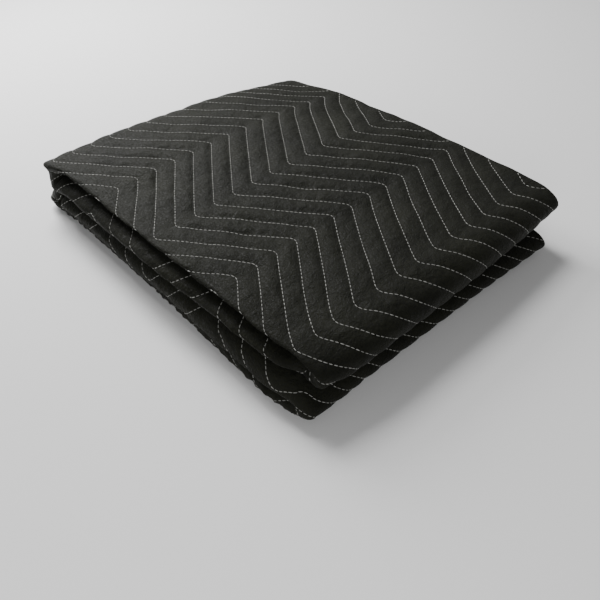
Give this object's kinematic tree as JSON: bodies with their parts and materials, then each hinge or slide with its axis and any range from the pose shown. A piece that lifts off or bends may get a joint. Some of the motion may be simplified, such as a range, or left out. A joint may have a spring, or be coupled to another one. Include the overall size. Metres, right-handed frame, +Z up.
{
  "type": "moving blanket, folded",
  "caption": "Quilted padded blanket, folded flat: the strip of its plies lies back and forth, with round fold noses on one side and a slack spine on the other.",
  "frame": {"origin": "on the floor, under the centre of the folded stack's box", "axes": "+X from the spine to the fold noses, +Y from the long folds to the open edges, +Z up"},
  "size_m": [0.5096, 0.3994, 0.0794],
  "materials": {
    "quilt_cloth": "matte"
  },
  "bodies": {
    "root": {"quilt": "quilt_cloth"}
  },
  "joints": []
}
